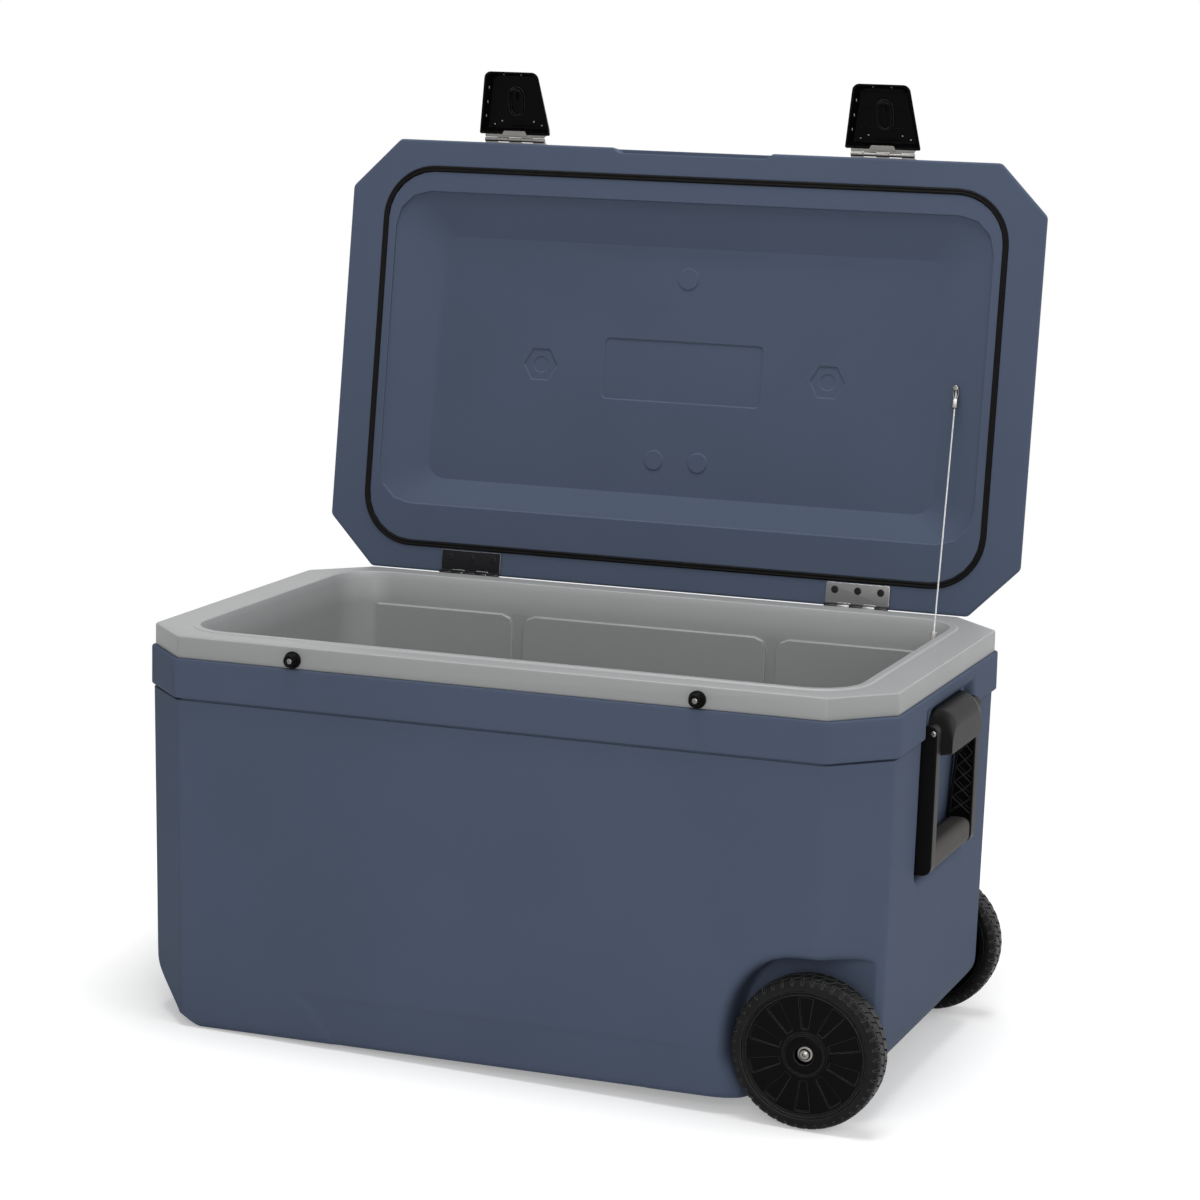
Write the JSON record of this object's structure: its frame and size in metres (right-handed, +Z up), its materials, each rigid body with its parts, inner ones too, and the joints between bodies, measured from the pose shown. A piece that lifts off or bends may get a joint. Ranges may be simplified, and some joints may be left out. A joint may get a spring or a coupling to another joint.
{
  "type": "wheeled cooler",
  "caption": "Eight-sided hard cooler on wheels with a hinged lid held open by a cable, standing latches and swing handles.",
  "frame": {"origin": "middle of the body's flat bottom face", "axes": "+Z up, +X towards the wheel end, -Y towards the front with the latch studs; the body leans by 1.53 degrees about Y, because it stands on its wheels and on the low edge of its other end"},
  "size_m": [0.8426, 0.6208, 0.9893],
  "materials": {
    "blue_plastic": "matte",
    "grey_plastic": "matte",
    "black_plastic": "satin",
    "tyre_rubber": "matte",
    "seal_rubber": "matte",
    "grip_rubber": "matte",
    "foam": "matte",
    "steel": "satin",
    "black_steel": "satin"
  },
  "bodies": {
    "body": {"outer_shell": "blue_plastic", "inner_liner": "grey_plastic", "body_foam": "foam", "stay_cable": "steel", "cable_anchor_tub": "steel", "drain_bush": "black_plastic", "axle": "steel", "axle_nut_front": "steel", "axle_nut_back": "steel", "body_hinge_leaf_left": "black_steel", "body_hinge_leaf_right": "black_steel", "hinge_pin_left": "steel", "hinge_pin_right": "steel", "body_hinge_screw_left_1": "black_steel", "body_hinge_screw_left_2": "black_steel", "body_hinge_screw_left_3": "black_steel", "body_hinge_screw_right_1": "black_steel", "body_hinge_screw_right_2": "black_steel", "body_hinge_screw_right_3": "black_steel", "latch_stud_left": "black_plastic", "latch_stud_right": "black_plastic", "stud_screw_left": "steel", "stud_screw_right": "steel", "handle_bracket_left": "black_plastic", "handle_bracket_right": "black_plastic", "handle_screw_left_front": "steel", "handle_screw_left_back": "steel", "handle_screw_right_front": "steel", "handle_screw_right_back": "steel"},
    "lid": {"lid_shell": "blue_plastic", "lid_pan": "blue_plastic", "lid_foam": "foam", "lid_gasket": "seal_rubber", "cable_anchor_lid": "steel", "lid_hinge_leaf_left": "black_steel", "lid_hinge_leaf_right": "black_steel", "lid_hinge_screw_left_1": "black_steel", "lid_hinge_screw_left_2": "black_steel", "lid_hinge_screw_left_3": "black_steel", "lid_hinge_screw_right_1": "black_steel", "lid_hinge_screw_right_2": "black_steel", "lid_hinge_screw_right_3": "black_steel", "latch_fixed_leaf_left": "steel", "latch_fixed_leaf_right": "steel", "latch_pin_left": "steel", "latch_pin_right": "steel"},
    "latch_left": {"latch_cover_left": "black_plastic", "latch_moving_leaf_left": "steel"},
    "latch_right": {"latch_cover_right": "black_plastic", "latch_moving_leaf_right": "steel"},
    "wheel_front": {"tyre_front": "tyre_rubber", "wheel_hub_front": "black_plastic"},
    "wheel_back": {"tyre_back": "tyre_rubber", "wheel_hub_back": "black_plastic"},
    "handle_left": {"handle_bail_left": "black_plastic", "handle_grip_left": "grip_rubber"},
    "handle_right": {"handle_bail_right": "black_plastic", "handle_grip_right": "grip_rubber"},
    "drain_plug": {"drain_plug": "black_plastic", "drain_seal": "seal_rubber"}
  },
  "joints": [
    {"name": "lid_hinge", "type": "hinge", "parent": "body", "child": "lid", "pos_m": [-0.01101, 0.24522, 0.4112], "axis": [0.9996, 0, 0.0268], "range_deg": [0, 98.1], "deforming": ["stay_cable"]},
    {"name": "latch_left_hinge", "type": "hinge", "parent": "lid", "child": "latch_left", "pos_m": [-0.23947, 0.32929, 0.89199], "axis": [0.9996, 0, 0.0268], "range_deg": [-20, 70]},
    {"name": "latch_right_hinge", "type": "hinge", "parent": "lid", "child": "latch_right", "pos_m": [0.19138, 0.32929, 0.90353], "axis": [0.9996, 0, 0.0268], "range_deg": [-20, 70]},
    {"name": "wheel_front_spin", "type": "hinge", "parent": "body", "child": "wheel_front", "pos_m": [0.33151, -0.2235, 0.0675], "axis": [0, 1, 0], "continuous": true},
    {"name": "wheel_back_spin", "type": "hinge", "parent": "body", "child": "wheel_back", "pos_m": [0.33151, 0.2235, 0.0675], "axis": [0, 1, 0], "continuous": true},
    {"name": "handle_left_swing", "type": "hinge", "parent": "body", "child": "handle_left", "pos_m": [-0.41752, 0, 0.34264], "axis": [0, 1, 0], "range_deg": [0, 95]},
    {"name": "handle_right_swing", "type": "hinge", "parent": "body", "child": "handle_right", "pos_m": [0.39859, 0, 0.3645], "axis": [0, -1, 0], "range_deg": [0, 95]},
    {"name": "drain_plug_turn", "type": "hinge", "parent": "body", "child": "drain_plug", "pos_m": [-0.40505, 0, 0.07118], "axis": [-0.9996, 0, -0.0268], "range_deg": [0, 720]}
  ]
}
